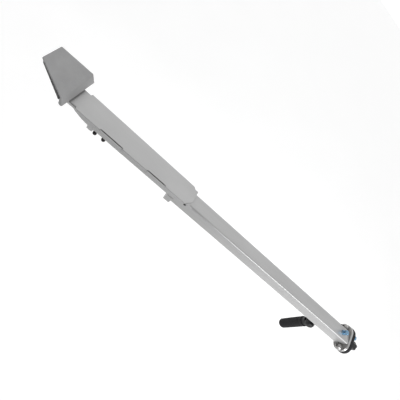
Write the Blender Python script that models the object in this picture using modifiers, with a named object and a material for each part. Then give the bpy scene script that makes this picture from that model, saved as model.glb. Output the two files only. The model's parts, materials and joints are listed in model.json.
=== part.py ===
"""Telescopic arm of a swing-gate opener, built as its separate pieces.

Metres, +Z up. +X runs along the arm from the pivot to the gate, and +Y is the arm's left side.
The origin is the centre of the pivot stud's flat foot. Heights in this file are measured from
the tube's centre line, which runs AXIS_Z above the foot; the function at() adds that height.
"""

from math import cos, pi, radians, sin

import bmesh
import bpy
from mathutils import Matrix, Vector

# General
MM = 0.001
GAP = 0.3 * MM  # clearance between pieces that touch
AXIS_Z = 4 * MM  # tube centre line above the stud's foot
ROUND = 32  # sides of a large round piece
SMALL_ROUND = 20  # sides of a small round piece

# Tube
TUBE_SIDE = 40 * MM
TUBE_WALL = 2.5 * MM
TUBE_CORNER = 5 * MM
TUBE_REAR = 306 * MM
TUBE_FRONT = 986 * MM
HALF = TUBE_SIDE / 2

# Rail, an inverted U of sheet that carries the tube, and its lid
RAIL_REAR = -24 * MM
RAIL_FRONT = 363 * MM  # of the left wall, which ends in an ear
WEB_FRONT = 355 * MM
RAIL_HALF = 24 * MM
RAIL_SHEET = 1.8 * MM
RAIL_TOP = 24.5 * MM
RAIL_FOOT = 3 * MM  # lower edge of the side walls
RAIL_NECK_FOOT = 16 * MM  # lower edge of the walls beside the hub
LID_REAR = 42 * MM
TONGUE_REAR = 20 * MM  # a narrow tongue of the lid covers the rail's neck
TONGUE_HALF = 23.4 * MM
LID_FRONT = 356 * MM
LID_HALF = 27.8 * MM
LID_TOP = 26.4 * MM
LID_SHEET = 1.6 * MM
LID_SKIRT = 4.8 * MM
TAB_SPANS = ((105 * MM, 161 * MM), (231 * MM, 281 * MM))  # along the left wall
TAB_SHEET = 1.5 * MM
TAB_OUT = 28.4 * MM  # outer side of the tabs
TAB_LOW = 12 * MM
TAB_TOP = 26.2 * MM
MOUTH_SCREW = (345 * MM, 17 * MM)  # x and height of the screw on each side of the rail's mouth
MOUTH_REAR = 322 * MM

# Stop under the rail
BLOCK_SPAN = (75 * MM, 88 * MM)
BLOCK_LOW = -12 * MM
CARRIAGE_SPAN = (88.3 * MM, 128 * MM)
CARRIAGE_LOW = -MM
CLAMP_SCREWS = {  # x, y and the height of the head's underside
    "clamp_screw_rear": (92.8 * MM, 11.5 * MM, -25.5 * MM),
    "clamp_screw_front": (116 * MM, 14 * MM, -19.5 * MM),
}

# Pivot
STUD_R = 8 * MM
BUSH_R = 10 * MM
BOSS_R = 16 * MM

# Hood: a sloping top and a front band
HOOD_REAR = -41 * MM
HOOD_FRONT = 22 * MM
HOOD_RIM = 28 * MM  # the band leans forward to here
HOOD_TOP_REAR = 77.7 * MM
HOOD_TOP_FRONT = 52.8 * MM
HOOD_RIM_Z = 32.6 * MM
HOOD_HALF_REAR = 24.6 * MM
HOOD_FLARE = 0.3616  # half width gained for each unit forward
HOOD_DRAFT = 0.0411  # half width gained for each unit down
HOOD_SHEET = 3 * MM
PLATE_DROP = 2.5 * MM  # the sloping top's thickness, measured straight down
BAND_REAR = 19.8 * MM  # the band's short side returns end here
HOUSING_UPRIGHT = (9.5 * MM, 11 * MM)  # height of the housing's upright walls at its rear and front
HOOD_PILLARS = ((-19 * MM, 5.5 * MM), (13 * MM, 15.5 * MM))

# Release lever
LEVER_X = 897 * MM
LEVER_Z = -50 * MM
LEVER_TILT = radians(12)
LEVER_HUB_R = 13 * MM
LEVER_HUB_HALF = 19 * MM
LEVER_HUB_ROUND = 7.5 * MM
LEVER_SLOT = 5.5 * MM  # half width of the hub's slot for the lug
FORK_HALF = 7.6 * MM
FORK_REACH = 20.5 * MM
GRIP_R = 15.2 * MM
GRIP_END = 143 * MM
CORE_R = 6.5 * MM
CORE_END = 128 * MM
PLUNGER_X = LEVER_X + 16 * MM
CROSSBAR_DROP = 5.3 * MM  # of the crossbar's middle below the hinge
SPRING_TOP = -27.9 * MM
SPRING_FOOT = -52.3 * MM

# Bolts that hold the end plug: each has a lock nut against the tube and a head that stands off
PLUG_REAR = 930 * MM
TOP_BOLT_X = 957 * MM
SIDE_BOLT_X = 965 * MM
SIDE_BOLT_Z = 8 * MM
PLUG_BOLT_TIP = 13.2 * MM  # from the tube's centre line
PLUG_BOLTS = {  # width across flats, shank radius, height of the lock nut, underside and top of the head
    "top": (13 * MM, 4.2 * MM, 5.5 * MM, 9.2 * MM, 14.7 * MM),
    "side": (8 * MM, 2.5 * MM, 3.5 * MM, 4.5 * MM, 8 * MM),
}
BOLT_CLEARANCE = 0.4 * MM

# End fitting
PLATE_REAR = TUBE_FRONT + GAP
PLATE_THICK = 8 * MM
PAD_REAR = PLATE_REAR + PLATE_THICK + GAP
PAD_THICK = 11 * MM
PAD_MARGIN = 0.4 * MM  # the pad's outline stands this far outside the plate's
PAD_FRONT = PAD_REAR + PAD_THICK
PLATE_HALF_HEIGHT = 24 * MM
PLATE_HALF_LENGTH = 40.3 * MM
PLATE_ROLL = radians(-12)  # the fitting rests rolled to one side
DOME_Y = 30.5 * MM
DOME_R = 9.6 * MM
DOME_HEIGHT = 12 * MM
SPINDLE_R = 10 * MM
STUD_YZ = (-16 * MM, 14.5 * MM)
LOCATING_STUD_R = 5 * MM
LOCATING_STUD_TIP = 1019 * MM
SPINDLE_TIP = 1038 * MM
KNOB_REAR = 1020 * MM
KNOB_FRONT = 1041 * MM
KNOB_R = 13.1 * MM
KNOB_LOBE = 0.8 * MM  # swing of the knob's outline
KNOB_LOBES = 6

COLOURS = {
    "painted_steel": ((0.42, 0.42, 0.41), 0.45, 0.0),
    "lid_paint": ((0.43, 0.43, 0.42), 0.45, 0.0),
    "hood_plastic": ((0.30, 0.30, 0.30), 0.5, 0.0),
    "black_plastic": ((0.02, 0.02, 0.02), 0.5, 0.0),
    "black_rubber": ((0.015, 0.015, 0.016), 0.8, 0.0),
    "polished_steel": ((0.62, 0.61, 0.60), 0.15, 1.0),
    "zinc_steel": ((0.60, 0.60, 0.58), 0.35, 1.0),
    "blue_zinc": ((0.12, 0.28, 0.52), 0.35, 1.0),
    "black_steel": ((0.03, 0.03, 0.03), 0.4, 1.0),
    "aluminium": ((0.70, 0.70, 0.70), 0.4, 1.0),
    "bronze": ((0.55, 0.36, 0.16), 0.35, 1.0),
    "nylon": ((0.80, 0.79, 0.74), 0.5, 0.0),
}


def clear_scene():
    for obj in list(bpy.data.objects):
        bpy.data.objects.remove(obj, do_unlink=True)


def new_collection(name):
    collection = bpy.data.collections.new(name)
    bpy.context.scene.collection.children.link(collection)
    return collection


def at(x, y, z):
    """A point given from the tube's centre line, in the object's frame."""
    return Vector((x, y, z + AXIS_Z))


def material(name):
    found = bpy.data.materials.get(name)
    if found:
        return found
    colour, roughness, metallic = COLOURS[name]
    made = bpy.data.materials.new(name)
    made.use_nodes = True
    shader = made.node_tree.nodes["Principled BSDF"]
    shader.inputs["Base Color"].default_value = (*colour, 1)
    shader.inputs["Roughness"].default_value = roughness
    shader.inputs["Metallic"].default_value = metallic
    return made


def empty(name, location, roll=0.0, parent=None):
    """A joint axis: its children are placed from it."""
    made = bpy.data.objects.new(name, None)
    parts.objects.link(made)
    made.matrix_world = Matrix.Translation(location) @ Matrix.Rotation(roll, 4, "X")
    if parent:
        made.parent = parent
        made.matrix_parent_inverse = parent.matrix_world.inverted()
    bpy.context.view_layer.update()
    return made


def put(obj, slot, parent, location=(0, 0, 0), turn=None):
    """Gives a piece its material and its place, measured from its parent."""
    obj.data.materials.clear()
    obj.data.materials.append(material(slot))
    obj.parent = parent
    obj.location = location
    if turn:
        obj.rotation_euler = turn
    return obj


def face_out(bm):
    bmesh.ops.recalc_face_normals(bm, faces=bm.faces)
    if bm.calc_volume(signed=True) < 0:
        bmesh.ops.reverse_faces(bm, faces=bm.faces)


def mesh_object(name, bm):
    face_out(bm)
    mesh = bpy.data.meshes.new(name)
    bm.to_mesh(mesh)
    bm.free()
    made = bpy.data.objects.new(name, mesh)
    parts.objects.link(made)
    return made


def smooth(obj, angle=35):
    obj.data.shade_smooth()
    obj.data.set_sharp_from_angle(angle=radians(angle))


def box(name, low, high, bevel=0.0, segments=2):
    """A box between two corners, with rounded edges where bevel is given."""
    bm = bmesh.new()
    bmesh.ops.create_cube(bm, size=1)
    low, high = Vector(low), Vector(high)
    size = high - low
    for vert in bm.verts:
        vert.co = Vector(a * b for a, b in zip(vert.co, size)) + (low + high) / 2
    if bevel:
        bmesh.ops.bevel(bm, geom=bm.edges[:], offset=bevel, segments=segments, affect="EDGES",
                        profile=0.5, clamp_overlap=True)
    return mesh_object(name, bm)


def cylinder(name, radius, start, end, sides=ROUND, chamfer=0.0):
    """A round bar between two points."""
    start, end = Vector(start), Vector(end)
    length = (end - start).length
    bm = bmesh.new()
    bmesh.ops.create_cone(bm, cap_ends=True, segments=sides, radius1=radius, radius2=radius, depth=length)
    if chamfer:
        rims = [edge for edge in bm.edges if abs(edge.verts[0].co.z - edge.verts[1].co.z) < MM / 100]
        bmesh.ops.bevel(bm, geom=rims, offset=chamfer, segments=1, affect="EDGES", profile=0.5)
    turn = (end - start).to_track_quat("Z", "Y").to_matrix().to_4x4()
    bm.transform(Matrix.Translation((start + end) / 2) @ turn)
    made = mesh_object(name, bm)
    smooth(made)
    return made


def turned(name, profile, sides=ROUND):
    """A turned piece about Z. The profile is (radius, height) pairs down the outer side, then up the bore."""
    mesh = bpy.data.meshes.new(name)
    points = [(radius, 0, height) for radius, height in profile]
    closed = profile[0][0] > 0 and profile[-1][0] > 0
    count = len(points)
    edges = [(i, i + 1) for i in range(count - 1)]
    if closed:
        edges.append((count - 1, 0))
    mesh.from_pydata(points, edges, [])
    made = bpy.data.objects.new(name, mesh)
    parts.objects.link(made)
    screw = made.modifiers.new("turn", "SCREW")
    screw.steps = screw.render_steps = sides
    screw.use_merge_vertices = True
    screw.merge_threshold = 0.01 * MM
    return freeze(made)


def ring(name, inner, outer, low, high, sides=ROUND):
    return turned(name, [(outer, high), (outer, low), (inner, low), (inner, high)], sides)


def freeze(obj):
    """Turns an object's modifiers into its mesh."""
    bpy.context.view_layer.update()
    graph = bpy.context.evaluated_depsgraph_get()
    mesh = bpy.data.meshes.new_from_object(obj.evaluated_get(graph))
    bm = bmesh.new()
    bm.from_mesh(mesh)
    bmesh.ops.remove_doubles(bm, verts=bm.verts, dist=0.005 * MM)
    face_out(bm)
    bm.to_mesh(mesh)
    bm.free()
    old = obj.data
    obj.modifiers.clear()
    if obj.type == "CURVE":
        made = bpy.data.objects.new("frozen", mesh)
        parts.objects.link(made)
        made.matrix_world = obj.matrix_world
        name = obj.name
        bpy.data.objects.remove(obj, do_unlink=True)
        made.name = name
        obj = made
    else:
        obj.data = mesh
        bpy.data.meshes.remove(old)
    smooth(obj)
    return obj


def flat_outline(name, points, thickness, fillets=None):
    """A plate in XY, centred on z = 0, from an outline. A fillet rounds the corner with that number."""
    rounded = []
    for i, point in enumerate(points):
        radius = (fillets or {}).get(i, 0)
        if not radius:
            rounded.append(Vector(point))
            continue
        here = Vector(point)
        back = (Vector(points[i - 1]) - here).normalized()
        ahead = (Vector(points[(i + 1) % len(points)]) - here).normalized()
        half_angle = back.angle(ahead) / 2
        reach = radius / abs(sin(half_angle) / cos(half_angle))
        middle = here + (back + ahead).normalized() * (radius / sin(half_angle))
        first = here + back * reach - middle
        last = here + ahead * reach - middle
        sweep = first.angle_signed(last)
        steps = 6
        for step in range(steps + 1):
            turn = Matrix.Rotation(-sweep * step / steps, 2)
            rounded.append(middle + turn @ first)
    bm = bmesh.new()
    ring_low = [bm.verts.new((p.x, p.y, -thickness / 2)) for p in rounded]
    face = bm.faces.new(ring_low)
    grown = bmesh.ops.extrude_face_region(bm, geom=[face])
    for item in grown["geom"]:
        if isinstance(item, bmesh.types.BMVert):
            item.co.z = thickness / 2
    return mesh_object(name, bm)


def boolean(obj, other, operation):
    """Cuts or joins with a second object, which becomes a hidden helper."""
    modifier = obj.modifiers.new(operation.lower(), "BOOLEAN")
    modifier.operation = operation
    modifier.object = other
    modifier.solver = "EXACT"
    parts.objects.unlink(other)
    cutters.objects.link(other)
    other.hide_render = True
    other.display_type = "WIRE"
    other.name = f"cutter_{len(cutters.objects)}"
    return obj


def cut(obj, *others):
    for other in others:
        boolean(obj, other, "DIFFERENCE")
    return obj


def join(obj, *others):
    for other in others:
        boolean(obj, other, "UNION")
    return obj


def settle(obj):
    """Applies the Booleans of a piece while it is still at its own origin, and drops the helpers."""
    helpers = [modifier.object for modifier in obj.modifiers if modifier.type == "BOOLEAN"]
    obj = freeze(obj)
    for helper in helpers:
        bpy.data.objects.remove(helper, do_unlink=True)
    return obj


def hexagon(name, across_flats, low, high):
    """A hexagonal head or nut blank about Z."""
    bm = bmesh.new()
    bmesh.ops.create_cone(bm, cap_ends=True, segments=6, radius1=across_flats / 2 / cos(pi / 6),
                          radius2=across_flats / 2 / cos(pi / 6), depth=high - low)
    bmesh.ops.translate(bm, verts=bm.verts, vec=(0, 0, (low + high) / 2))
    return mesh_object(name, bm)


def pivot_parts(parent):
    """The stud that holds the arm up, and what turns on it. Heights here start at the stud's foot."""
    stud = turned("pivot_stud", [(0, 55 * MM), (STUD_R - MM, 55 * MM), (STUD_R, 54 * MM), (STUD_R, 6 * MM),
                                 (11.5 * MM, 6 * MM), (12 * MM, 5.5 * MM), (12 * MM, 0), (0, 0)])
    put(stud, "zinc_steel", parent)
    washer = ring("thrust_washer", STUD_R + GAP, 12 * MM, 6 * MM + GAP, 8 * MM)
    put(washer, "bronze", parent)
    top_washer = ring("top_washer", STUD_R + GAP, 13 * MM, 42.3 * MM, 44.3 * MM)
    put(top_washer, "zinc_steel", parent)
    nut = cut(hexagon("pivot_nut", 24 * MM, 44.6 * MM, 52 * MM),
              cylinder("c", STUD_R + GAP, (0, 0, 40 * MM), (0, 0, 60 * MM)))
    put(settle(nut), "zinc_steel", parent)


def hub_parts(parent):
    """The hub boss of the arm and its two flanged bushes."""
    bore = BUSH_R + GAP
    boss = turned("hub_boss", [(BOSS_R - MM, 40 * MM), (BOSS_R, 39 * MM), (BOSS_R, 11.3 * MM),
                               (BOSS_R - MM, 10.3 * MM), (bore, 10.3 * MM), (bore, 40 * MM)])
    put(boss, "painted_steel", parent)
    inner = STUD_R + GAP
    lower = turned("lower_bush", [(BUSH_R, 22 * MM), (BUSH_R, 10 * MM), (13 * MM, 10 * MM),
                                  (13 * MM, 8.3 * MM), (inner, 8.3 * MM), (inner, 22 * MM)])
    put(lower, "bronze", parent)
    upper = turned("upper_bush", [(13 * MM, 42 * MM), (13 * MM, 40.3 * MM), (BUSH_R, 40.3 * MM),
                                  (BUSH_R, 28 * MM), (inner, 28 * MM), (inner, 42 * MM)])
    put(upper, "bronze", parent)


def rail(parent):
    """Inverted U: a side outline cut from a bar, hollowed from below, with two tabs on the left wall."""
    outline = [
        (RAIL_REAR, RAIL_TOP),
        (RAIL_REAR, RAIL_NECK_FOOT),
        (38 * MM, RAIL_NECK_FOOT),
        (43 * MM, 12.3 * MM),
        (59 * MM, 5.7 * MM),
        (74 * MM, RAIL_FOOT),
        (RAIL_FRONT, RAIL_FOOT),
        (RAIL_FRONT, RAIL_TOP),
    ]
    body = flat_outline("rail", outline, 2 * RAIL_HALF, fillets={6: 7 * MM, 7: 1.5 * MM})
    body.data.transform(Matrix.Rotation(pi / 2, 4, "X"))
    body = round_long_edges(body, RAIL_TOP, 2.5 * MM)
    inner = RAIL_HALF - RAIL_SHEET
    cut(body, box("c", (-0.1, -inner, -0.1), (0.5, inner, RAIL_TOP - RAIL_SHEET)))
    for side in (1, -1):
        corner = box("c", (-30 * MM, -20 * MM, -0.1), (30 * MM, 20 * MM, 0.1))
        corner.data.transform(Matrix.Translation((-24.5 * MM, side * 31.9 * MM, 0))
                              @ Matrix.Rotation(side * radians(35), 4, "Z"))
        cut(body, corner)
        for x, y in HOOD_PILLARS:
            cut(body, cylinder("c", 2.3 * MM, (x, side * y, 0), (x, side * y, 0.1), SMALL_ROUND))
        x, z = MOUTH_SCREW
        cut(body, cylinder("c", 2.4 * MM, (x, 0, z), (x, side * 0.1, z), SMALL_ROUND))
    for start, end in TAB_SPANS:
        join(body, tab(start, end))
    cut(body, cylinder("c", BOSS_R + GAP, (0, 0, 0), (0, 0, 0.1)),
        box("c", (WEB_FRONT, -40 * MM, -0.1), (0.5, inner - 0.1 * MM, 0.1)))
    put(settle(body), "painted_steel", parent, at(0, 0, 0))


def round_long_edges(obj, height, radius):
    """Rounds the edges that run along X at one height."""
    bm = bmesh.new()
    bm.from_mesh(obj.data)
    long_edges = [edge for edge in bm.edges
                  if all(abs(vert.co.z - height) < MM / 10 for vert in edge.verts)
                  and abs(edge.verts[0].co.x - edge.verts[1].co.x) > 50 * MM]
    bmesh.ops.bevel(bm, geom=long_edges, offset=radius, segments=4, affect="EDGES", profile=0.5)
    bm.to_mesh(obj.data)
    bm.free()
    return obj


def tab(start, end):
    """An ear that leaves the rail's left wall, turns up and stands beside the lid."""
    root = RAIL_HALF - 0.5 * MM
    points = [(root, TAB_LOW), (TAB_OUT, TAB_LOW), (TAB_OUT, TAB_TOP), (TAB_OUT - TAB_SHEET, TAB_TOP),
              (TAB_OUT - TAB_SHEET, TAB_LOW + TAB_SHEET), (root, TAB_LOW + TAB_SHEET)]
    return run_along_x(flat_outline("c", points, end - start), (start + end) / 2)


def run_along_x(obj, middle):
    """Turns a plate from flat_outline so that its outline lies in YZ and its thickness runs along X."""
    obj.data.transform(Matrix(((0, 0, 1, middle), (1, 0, 0, 0), (0, 1, 0, 0), (0, 0, 0, 1))))
    return obj


def lid(parent):
    """Shallow folded lid: chamfered front corners, a tongue over the neck, a notch at each tab."""
    chamfer = 16 * MM
    half, neck = LID_HALF, TONGUE_HALF
    right = [(TONGUE_REAR, -neck), (LID_REAR, -neck), (LID_REAR, -half), (LID_FRONT - chamfer, -half),
             (LID_FRONT, -half + chamfer)]
    left = [(x, -y) for x, y in reversed(right)]
    made = flat_outline("lid", right + left, LID_SKIRT, fillets={2: 2 * MM, 3: 4 * MM, 6: 4 * MM, 7: 2 * MM})
    made.data.transform(Matrix.Translation((0, 0, LID_TOP - LID_SKIRT / 2)))
    bm = bmesh.new()
    bm.from_mesh(made.data)
    rim = [edge for edge in bm.edges if all(abs(vert.co.z - LID_TOP) < MM / 10 for vert in edge.verts)]
    bmesh.ops.bevel(bm, geom=rim, offset=MM, segments=3, affect="EDGES", profile=0.5)
    bm.to_mesh(made.data)
    bm.free()
    inner = half - LID_SHEET
    low = LID_TOP - 2 * LID_SKIRT
    spare = 5 * MM
    cut(made, box("c", (TONGUE_REAR - spare, -inner, low), (LID_FRONT + spare, inner, LID_TOP - LID_SHEET)))
    notch_side, notch_end = 24.4 * MM, 1.5 * MM
    for start, end in TAB_SPANS:
        cut(made, box("c", (start - notch_end, notch_side, low), (end + notch_end, 2 * half, LID_TOP + spare)))
    put(settle(made), "lid_paint", parent, at(0, 0, 0))


def mouth_parts(parent):
    """Nylon liner between rail and tube, and the screws that hold it."""
    outer = RAIL_HALF - RAIL_SHEET - GAP
    inner = HALF + 0.4 * MM
    top = RAIL_TOP - RAIL_SHEET - GAP
    guide = box("mouth_guide", (MOUTH_REAR, -outer, 4 * MM), (WEB_FRONT - 2 * MM, outer, top))
    cut(guide, box("c", (0.3, -inner, -0.1), (0.4, inner, inner)))
    x, z = MOUTH_SCREW
    cut(guide, cylinder("c", 2.4 * MM, (x, -0.1, z), (x, 0.1, z), SMALL_ROUND))
    put(settle(guide), "nylon", parent, at(0, 0, 0))
    for side, hand in ((1, "left"), (-1, "right")):
        screw = turned(f"mouth_screw_{hand}", [(0, 0.9 * MM), (2.8 * MM, 0.7 * MM), (3.4 * MM, GAP), (2 * MM, GAP),
                                               (2 * MM, -3.2 * MM), (0, -3.2 * MM)], SMALL_ROUND)
        put(screw, "black_steel", parent, at(x, side * RAIL_HALF, z), (-side * pi / 2, 0, 0))


def hood_half(x, z):
    """Half width of the hood's outer side at a place."""
    return HOOD_HALF_REAR + HOOD_FLARE * (x - HOOD_REAR) + HOOD_DRAFT * (HOOD_TOP_REAR - z)


def hood_top(x):
    slope = (HOOD_TOP_REAR - HOOD_TOP_FRONT) / (HOOD_FRONT - HOOD_REAR)
    return HOOD_TOP_FRONT + slope * (HOOD_FRONT - x)


def wedge(name, corners):
    """A cube whose eight corners are moved: (x, half width, z) at top and bottom, rear and front."""
    bm = bmesh.new()
    bmesh.ops.create_cube(bm, size=2)
    for vert in bm.verts:
        x, half, z = corners[(vert.co.z > 0, vert.co.x > 0)]
        vert.co = (x, half * (1 if vert.co.y > 0 else -1), z)
    return mesh_object(name, bm)


def hood(parent):
    """Moulded hood: sloping top, front band and four pillars for its screws."""
    lean = (HOOD_RIM - HOOD_FRONT) / (HOOD_TOP_FRONT - HOOD_RIM_Z)
    top, skin = True, HOOD_SHEET
    outer = wedge("hood", {
        (top, False): (HOOD_REAR, hood_half(HOOD_REAR, HOOD_TOP_REAR), HOOD_TOP_REAR),
        (top, True): (HOOD_FRONT, hood_half(HOOD_FRONT, HOOD_TOP_FRONT), HOOD_TOP_FRONT),
        (False, False): (HOOD_REAR, hood_half(HOOD_REAR, HOOD_RIM_Z), HOOD_RIM_Z),
        (False, True): (HOOD_RIM, hood_half(HOOD_RIM, HOOD_RIM_Z), HOOD_RIM_Z),
    })
    outer = round_hood_edges(outer)
    low = HOOD_RIM_Z - 5 * MM
    start = BAND_REAR - 2 * MM
    front_high = HOOD_FRONT - skin
    front_low = HOOD_FRONT + lean * (HOOD_TOP_FRONT - low) - skin
    step = 0.1 * MM  # the band's inside is this much lower than the plate's
    inner = wedge("c", {
        (top, False): (start, hood_half(start, HOOD_TOP_FRONT) - skin, hood_top(start) - PLATE_DROP - step),
        (top, True): (front_high, hood_half(front_high, HOOD_TOP_FRONT) - skin,
                      hood_top(front_high) - PLATE_DROP - step),
        (False, False): (start, hood_half(start, low) - skin, low),
        (False, True): (front_low, hood_half(front_low, low) - skin, low),
    })
    cut(outer, inner)
    far_x = HOOD_REAR - 10 * MM
    wide = 80 * MM
    slab = wedge("c", {
        (top, False): (far_x, wide, hood_top(far_x) - PLATE_DROP),
        (top, True): (BAND_REAR, wide, hood_top(BAND_REAR) - PLATE_DROP),
        (False, False): (far_x, wide, low),
        (False, True): (BAND_REAR, wide, low),
    })
    cut(outer, slab)
    for x, y in HOOD_PILLARS:
        for side in (1, -1):
            foot = RAIL_TOP + GAP
            inside_plate = hood_top(x) - PLATE_DROP / 2
            join(outer, cylinder("c", 3.6 * MM, (x, side * y, foot), (x, side * y, inside_plate), SMALL_ROUND))
            cut(outer, cylinder("c", 2 * MM, (x, side * y, 0), (x, side * y, foot + 11 * MM), SMALL_ROUND))
    put(settle(outer), "hood_plastic", parent, at(0, 0, 0))


def round_hood_edges(obj):
    """A wide bend between top and band, rounded front corners and softened edges elsewhere."""
    bm = bmesh.new()
    bm.from_mesh(obj.data)

    high = 40 * MM
    wide = [edge for edge in bm.edges
            if min(vert.co.x for vert in edge.verts) > 0 and max(vert.co.z for vert in edge.verts) > high]
    bmesh.ops.bevel(bm, geom=wide, offset=4 * MM, segments=4, affect="EDGES", profile=0.5)
    narrow = [edge for edge in bm.edges
              if edge.calc_face_angle(0) > radians(40)
              and min(vert.co.x for vert in edge.verts) < 0
              and max(vert.co.z for vert in edge.verts) > high]
    bmesh.ops.bevel(bm, geom=narrow, offset=1.2 * MM, segments=2, affect="EDGES", profile=0.5)
    bm.to_mesh(obj.data)
    bm.free()
    smooth(obj, 40)
    return obj


def housing(parent):
    """Black tapering shell under the hood: three rings, joined by walls and thickened inwards."""
    inset = 0.6 * MM
    front = BAND_REAR - 2 * GAP
    rear = HOOD_REAR + inset
    drop = PLATE_DROP + GAP
    foot = RAIL_TOP + GAP
    corner = 2.5 * MM
    rings = []
    spare = 1.5 * MM  # the shell is made this much too high, and then cut along the hood's underside
    for down_rear, down_front in ((-spare, -spare), HOUSING_UPRIGHT):
        half_rear = hood_half(rear, HOOD_TOP_REAR) - inset
        half_front = hood_half(front, HOOD_TOP_FRONT) - inset
        z_rear, z_front = hood_top(rear) - drop - down_rear, hood_top(front) - drop - down_front
        rings.append([(rear, half_rear - corner, z_rear), (rear + corner, half_rear, z_rear),
                      (front - corner, half_front, z_front), (front, half_front - corner, z_front)])
    foot_half = 23.6 * MM
    rings.append([(-24.5 * MM, 9.5 * MM, foot), (-3 * MM, foot_half, foot),
                  (front - corner, foot_half, foot), (front, foot_half - corner, foot)])
    bm = bmesh.new()
    loops = []
    for half_ring in rings:
        mirrored = [(x, -y, z) for x, y, z in reversed(half_ring)]
        loops.append([bm.verts.new(point) for point in half_ring + mirrored])
    for upper, lower in zip(loops, loops[1:]):
        for i in range(8):
            j = (i + 1) % 8
            bm.faces.new((upper[i], lower[i], lower[j], upper[j]))
    made = mesh_object("hub_housing", bm)
    shell = made.modifiers.new("wall", "SOLIDIFY")
    shell.thickness = 2 * MM
    shell.offset = -1
    shell.use_even_offset = True
    made = freeze(made)
    wide = 80 * MM
    far, near = HOOD_REAR - 10 * MM, HOOD_FRONT + 10 * MM
    cut(made, wedge("c", {
        (False, False): (far, wide, hood_top(far) - drop),
        (False, True): (near, wide, hood_top(near) - drop),
        (True, False): (far, wide, HOOD_TOP_REAR + wide),
        (True, True): (near, wide, HOOD_TOP_REAR + wide),
    }))
    put(settle(made), "black_plastic", parent, at(0, 0, 0))


def hood_screws(parent):
    """Pan-head screws that come up through the rail into the hood's pillars."""
    under = RAIL_TOP - RAIL_SHEET - GAP
    for x, y in HOOD_PILLARS:
        for side, hand in ((1, "left"), (-1, "right")):
            end = "rear" if x < 0 else "front"
            made = turned(f"hood_screw_{end}_{hand}",
                          [(0, 11 * MM), (1.7 * MM, 10.4 * MM), (1.7 * MM, 0), (3.4 * MM, 0),
                           (3.2 * MM, -1.6 * MM), (0, -2.2 * MM)], 16)
            put(made, "zinc_steel", parent, at(x, side * y, under))


def stop_parts(parent, screw_axes):
    """Metal stop block, the carriage beside it and its two clamp screws, under the rail."""
    half = RAIL_HALF - RAIL_SHEET - GAP
    top = RAIL_TOP - RAIL_SHEET - GAP
    start, end = BLOCK_SPAN
    block = box("stop_block", (start, -half, BLOCK_LOW), (end, half, top), 0.6 * MM, 1)
    put(block, "aluminium", parent, at(0, 0, 0))
    start, end = CARRIAGE_SPAN
    carriage = box("stop_carriage", (start, -half, CARRIAGE_LOW), (end, half, top), 0.6 * MM, 1)
    for x, y, low in CLAMP_SCREWS.values():
        cut(carriage, cylinder("c", 3.3 * MM, (x, y, -0.1), (x, y, 13 * MM), SMALL_ROUND))
    put(settle(carriage), "zinc_steel", parent, at(0, 0, 0))
    for name, (x, y, low) in CLAMP_SCREWS.items():
        made = clamp_screw(name, low)
        put(made, "black_steel", screw_axes[name])


def clamp_screw(name, low):
    """Knurled head with a hexagon socket, and its shank, hanging from the carriage."""
    head_r = 4.6 * MM
    head_top = low + 11 * MM
    made = turned(name, [(0, 12 * MM), (3 * MM, 12 * MM), (3 * MM, head_top), (head_r - 0.6 * MM, head_top),
                         (head_r, head_top - 0.6 * MM), (head_r, low + 0.6 * MM), (head_r - 0.6 * MM, low),
                         (0, low)], SMALL_ROUND)
    socket = hexagon("c", 5 * MM, low - MM, low + 4 * MM)
    return settle(cut(made, socket))


def square_tube(parent):
    outer = flat_outline("tube", [(-HALF, -HALF), (HALF, -HALF), (HALF, HALF), (-HALF, HALF)],
                         TUBE_FRONT - TUBE_REAR, fillets={i: TUBE_CORNER for i in range(4)})
    hollow = HALF - TUBE_WALL
    inner = flat_outline("c", [(-hollow, -hollow), (hollow, -hollow), (hollow, hollow), (-hollow, hollow)],
                         1.0, fillets={i: TUBE_CORNER - TUBE_WALL for i in range(4)})
    cut(outer, inner)
    outer = settle(outer)
    outer.data.transform(Matrix.Rotation(pi / 2, 4, "Y"))
    outer.data.transform(Matrix.Translation(((TUBE_REAR + TUBE_FRONT) / 2, 0, 0)))
    cut(outer, *plug_bolt_holes())
    cut(outer, cylinder("c", 5.8 * MM, (PLUNGER_X, 0, 0), (PLUNGER_X, 0, -0.1), SMALL_ROUND))
    put(settle(outer), "painted_steel", parent, at(0, 0, 0) - at(TUBE_REAR, 0, 0))


def plug_bolt_holes():
    """Cutters for the top and side bolts, through the tube's wall and the plug."""
    far = 4 * HALF
    top, side = (PLUG_BOLTS[name][1] + BOLT_CLEARANCE for name in ("top", "side"))
    z = SIDE_BOLT_Z
    return (cylinder("c", top, (TOP_BOLT_X, 0, 0), (TOP_BOLT_X, 0, far), SMALL_ROUND),
            cylinder("c", side, (SIDE_BOLT_X, 0, z), (SIDE_BOLT_X, -far, z), SMALL_ROUND))


def tube_place(x=0.0, y=0.0, z=0.0):
    """A place on the tube, measured from the tube's own axis empty."""
    return Vector((x - TUBE_REAR, y, z))


def rear_collar(parent):
    """Glide on the tube's rear end. It fills the rail, and its lower half runs under the rail's walls."""
    upper = RAIL_HALF - RAIL_SHEET - GAP
    lower = RAIL_HALF + 0.6 * MM
    step = RAIL_FOOT - 0.6 * MM
    top = RAIL_TOP - RAIL_SHEET - GAP
    bottom = -24 * MM
    points = [(lower, bottom), (lower, step), (upper, step), (upper, top),
              (-upper, top), (-upper, step), (-lower, step), (-lower, bottom)]
    length = 17 * MM
    made = flat_outline("rear_collar", points, length, fillets={0: 3 * MM, 7: 3 * MM})
    run_along_x(made, TUBE_REAR - 5 * MM + length / 2)
    bore = HALF + GAP
    cut(made, box("c", (TUBE_REAR - GAP, -bore, -bore), (TUBE_REAR + 0.1, bore, bore)))
    cut(made, cylinder("c", 12 * MM, (TUBE_REAR - 0.1, 0, 0), (TUBE_REAR + 0.1, 0, 0)))
    put(settle(made), "painted_steel", parent, tube_place())


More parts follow.
